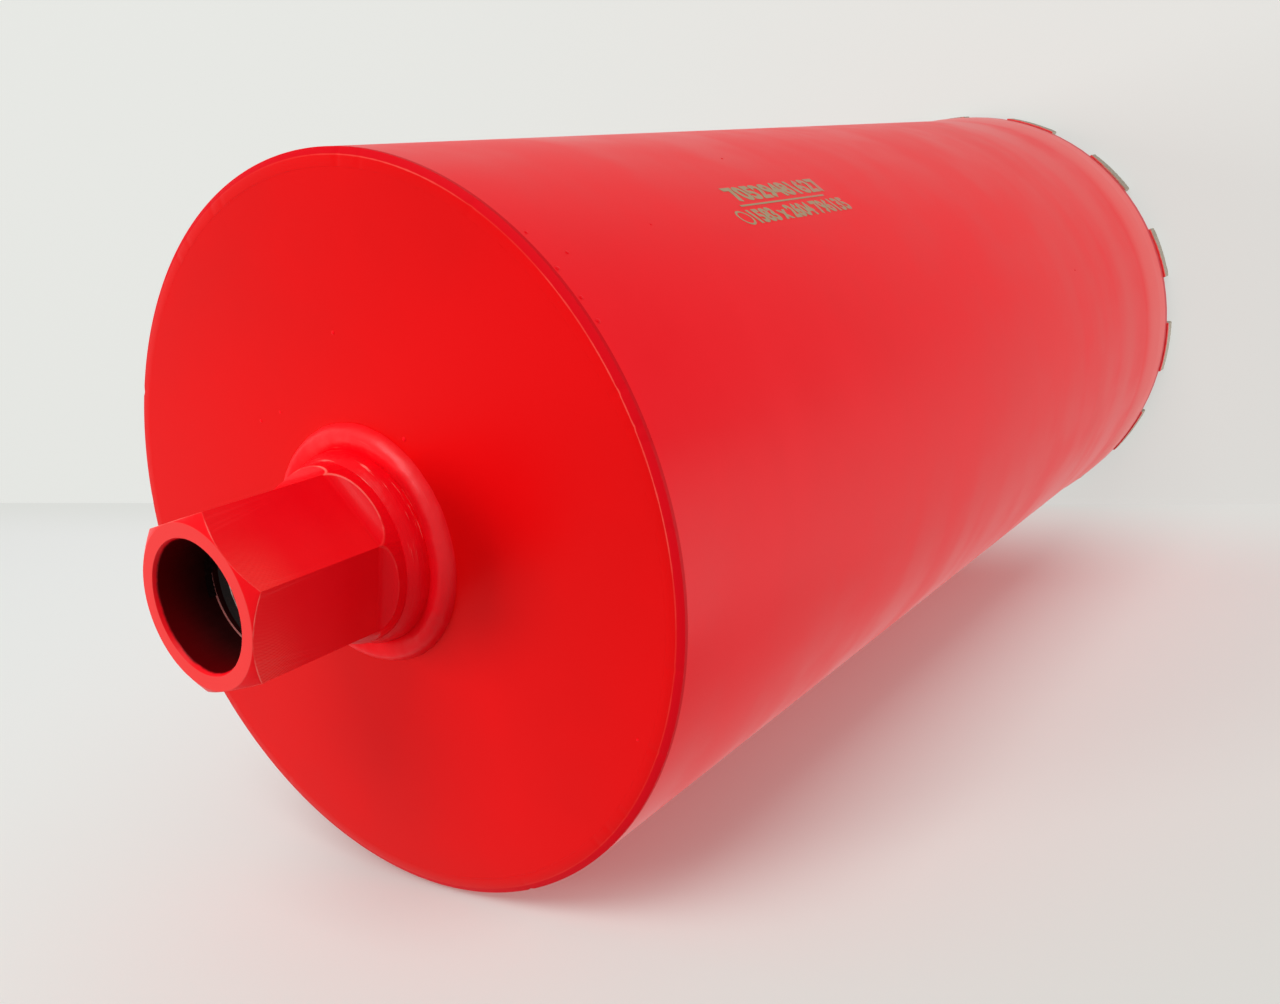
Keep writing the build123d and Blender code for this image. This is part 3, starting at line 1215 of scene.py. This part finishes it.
@dataclass
class PaintNibs:
    """Small drops and dust in the paint, most of them where plate and tube meet.

    Each is given by its turn in degrees, its height or radius in millimetres and its size.
    """

    layout: Layout
    on_tube: tuple[Point3, ...] = (
        (-151.8, 412.9, 0.62), (-149.6, 405.9, 0.50), (-156.6, 412.6, 0.55), (-160.2, 412.4, 0.60),
        (-145.2, 412.2, 0.45), (-146.9, 369.0, 0.40), (-174.3, 123.8, 0.40), (-132.0, 301.0, 0.35),
        (35.0, 396.0, 0.45), (78.0, 222.0, 0.40), (110.0, 408.0, 0.50), (12.0, 88.0, 0.40),
    )
    on_plate: tuple[Point3, ...] = (
        (-104.9, 55.4, 0.55), (-56.1, 47.8, 0.50), (-66.7, 43.6, 0.40), (140.5, 92.4, 0.35),
        (-139.9, 35.5, 0.55), (20.0, 70.0, 0.40),
    )
    flatness: float = 0.35

    def build(self, material: Finish) -> None:
        """Shapes one drop and copies it to each place."""
        Bench.clear()
        bpy.ops.mesh.primitive_ico_sphere_add(subdivisions=3, radius=1)
        pattern = Bench.named("nib_pattern")
        pattern.data.transform(Matrix.Diagonal((1, 1, self.flatness, 1)))
        drops = []
        for turn, level, size in self.on_tube:
            way = polar(1, math.radians(turn), 0)
            place = way * self.layout.tube_radius + Vector((0, 0, level * MM))
            drops.append(self._drop(pattern, place, way, size * MM))
        for turn, reach, size in self.on_plate:
            place = polar(reach * MM, math.radians(turn), self.layout.plate_z)
            drops.append(self._drop(pattern, place, Vector((0, 0, 1)), size * MM))
        bpy.data.objects.remove(pattern)
        piece = Bench.join(drops, "paint_nibs")
        Bench.finish(piece, sharp_degrees=60.0)
        place_piece(piece, material, Slot.PAINT)

    @staticmethod
    def _drop(pattern: Piece, place: Vector, way: Vector, size: float) -> Piece:
        """Copies the drop to a place, flat on the surface there."""
        drop = Bench.copy(pattern)
        turned = way.to_track_quat("Z", "Y").to_matrix().to_4x4()
        drop.data.transform(Matrix.Translation(place) @ turned @ Matrix.Scale(size, 4))
        return drop


# ---- Studio ----


@dataclass(frozen=True)
class Lamp:
    """A soft square lamp. Its level is the brightness of a white card that faces it."""

    name: str
    up: float
    aside: float
    along: float
    size: float
    level: float
    mirrored: bool = True


@dataclass
class Studio:
    """Pale floor, pale wall behind the bit, soft light and the camera."""

    layout: Layout
    lens: float = 33.64
    sensor: float = 36.0
    stand: Point3 = (-0.25532, -0.01860, 0.61113)
    aim: Point3 = (0.04478, 0.02581, 0.25)
    roll_degrees: float = -113.87
    pale: Colour = (0.78, 0.79, 0.76)
    floor_tone: Colour = (0.76, 0.77, 0.74)
    floor_glow: float = 0.75
    wall_tone: Colour = (0.92, 0.93, 0.91)
    wall_shade_tone: Colour = (0.70, 0.755, 0.715)
    sweep: float = 0.13
    wall_glow: float = 0.15
    wall_gap: float = 0.2 * MM
    above_degrees: float = -100.3
    reach: float = 20.0
    lamp_aim: Point3 = (0.0, 0.0, 0.25)
    lamp_reach: float = 3.0
    dome: float = 0.46
    lamps: tuple[Lamp, ...] = (
        Lamp("window", 0.10, 0.50, 0.86, size=0.9, level=0.50, mirrored=False),
        Lamp("overhead", 0.80, -0.15, 0.58, size=1.8, level=0.54),
        Lamp("fill", -0.30, -0.80, -0.52, size=2.2, level=0.46),
    )

    def build(self) -> None:
        """Sets up everything that isn't part of the bit."""
        bpy.context.scene.view_settings.view_transform = "Standard"
        self._camera()
        self._boards()
        self._world()
        for lamp in self.lamps:
            self._light(lamp)

    @property
    def _up(self) -> Vector:
        """The way out from the wall, which lies below the bit in the camera's view."""
        return polar(1, math.radians(self.above_degrees), 0)

    @property
    def _aside(self) -> Vector:
        """The way along the wall, square to the bit's axis."""
        return Vector((-self._up.y, self._up.x, 0))

    def _camera(self) -> None:
        """The camera, rolled so that the bit's axis lies as on a table."""
        data = bpy.data.cameras.new("camera")
        data.lens = self.lens
        data.sensor_width = self.sensor
        camera = bpy.data.objects.new("camera", data)
        bpy.context.collection.objects.link(camera)
        look = (Vector(self.aim) - Vector(self.stand)).normalized()
        roll = Matrix.Rotation(math.radians(self.roll_degrees), 3, "Z")
        turned = look.to_track_quat("-Z", "Y").to_matrix() @ roll
        camera.matrix_world = Matrix.Translation(self.stand) @ turned.to_4x4()
        bpy.context.scene.camera = camera

    def _paper(self) -> Finish:
        """Pale matt paper of floor and wall, seen by the camera alone and from its front.

        Returns:
            The material, steady in tone on the floor and soft in shade up the wall.
        """
        material = bpy.data.materials.new("pale_paper")
        material.use_nodes = True
        sheet = Sheet(material.node_tree)
        place = sheet.get("ShaderNodeNewGeometry", "Position")
        along_wall = {0: place, 1: -self._aside}
        across = sheet.get("ShaderNodeVectorMath", "Value", along_wall, operation="DOT_PRODUCT")
        level = sheet.split(place)[2]
        # Painted shade: the wall's colour turns darker and greener across it and further up it.
        far = across.rise(-0.35, 0.35, 0.0, 0.6) + level.rise(0.0, 0.55, 0.0, 0.4)
        colour = sheet.mix(far, self.wall_tone, self.wall_shade_tone)
        colour = sheet.mix(level.rise(0.0, self.sweep), self.floor_tone, colour)
        matt = sheet.node("ShaderNodeBsdfDiffuse", {"Color": colour})
        steady = sheet.node("ShaderNodeEmission", {"Color": colour})
        board = sheet.blend(level.rise(0.0, self.sweep, self.floor_glow, self.wall_glow), matt, steady)
        behind = sheet.get("ShaderNodeNewGeometry", "Backfacing")
        seen = sheet.blend(behind, board, sheet.node("ShaderNodeBsdfTransparent"))
        sheet.node("ShaderNodeOutputMaterial", {"Surface": seen.outputs[0]})
        return material

    def _boards(self) -> None:
        """The floor, and a wall close to the crown. The light passes both."""
        paper = self._paper()
        foot = -self._up * (self.layout.crown_radius + self.wall_gap)
        upright = self._up.to_track_quat("Z", "Y").to_euler()
        for name, place, turned in (("floor", (0, 0, 0), (0, 0, 0)), ("wall", foot, upright)):
            Bench.clear()
            bpy.ops.mesh.primitive_plane_add(size=2 * self.reach, location=place, rotation=turned)
            board = Bench.named(name)
            dress(board, paper)
            board.visible_diffuse = board.visible_glossy = False
            board.visible_transmission = board.visible_shadow = False

    def _world(self) -> None:
        """Even light from all round, in front of a pale background that gloss shows too."""
        world = bpy.data.worlds.new("studio")
        bpy.context.scene.world = world
        world.use_nodes = True
        sheet = Sheet(world.node_tree)
        light = sheet.node("ShaderNodeBackground", {"Color": (1.0, 1.0, 1.0), "Strength": self.dome})
        seen = sheet.node("ShaderNodeBackground", {"Color": self.pale})
        rays = sheet.node("ShaderNodeLightPath").outputs
        mirrored = sheet.math("MAXIMUM", rays["Is Glossy Ray"], rays["Is Transmission Ray"])
        both = sheet.blend(sheet.math("MAXIMUM", rays["Is Camera Ray"], mirrored), light, seen)
        sheet.node("ShaderNodeOutputWorld", {"Surface": both.outputs[0]})

    def _light(self, lamp: Lamp) -> None:
        """Puts a lamp up, aimed at the bit's middle."""
        data = bpy.data.lights.new(lamp.name, "AREA")
        data.shape = "SQUARE"
        data.size = lamp.size
        data.energy = lamp.level * (math.pi * self.lamp_reach) ** 2
        way = (self._up * lamp.up + self._aside * lamp.aside + Vector((0, 0, 1)) * lamp.along).normalized()
        light = bpy.data.objects.new(lamp.name, data)
        light.location = Vector(self.lamp_aim) + way * self.lamp_reach
        light.rotation_euler = (-way).to_track_quat("-Z", "Y").to_euler()
        light.visible_camera = False
        light.visible_glossy = lamp.mirrored
        bpy.context.collection.objects.link(light)


# ---- Assembly ----


def main() -> None:
    """Builds and dresses the bit, piece by piece, and sets the studio."""
    logging.basicConfig(level=logging.INFO, format="%(name)s %(message)s")
    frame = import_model()
    layout = Layout.from_frame(frame)
    Studio(layout).build()
    effects = Effects.build()
    cans = PaintCan(effects, layout)
    SteelBody(layout, cans, frame["nodes"]).build()
    HubWeld(layout).build(cans.weld(Film("weld_paint")))
    RimWeld(layout).build(cans.ring(darker_plate_film("ring_paint")))
    Crown(layout).build(SinteredMatrix().material())
    thread = BoreThread(layout)
    thread.build(CutSteel(effects, layout.thread_radius - thread.depth).material())
    Marking(layout).build(MarkingInk().material())
    PaintNibs(layout).build(cans.plain(Film("nib_paint", full=(0.80, 0.0, 0.006))))


if __name__ == "__main__":
    main()
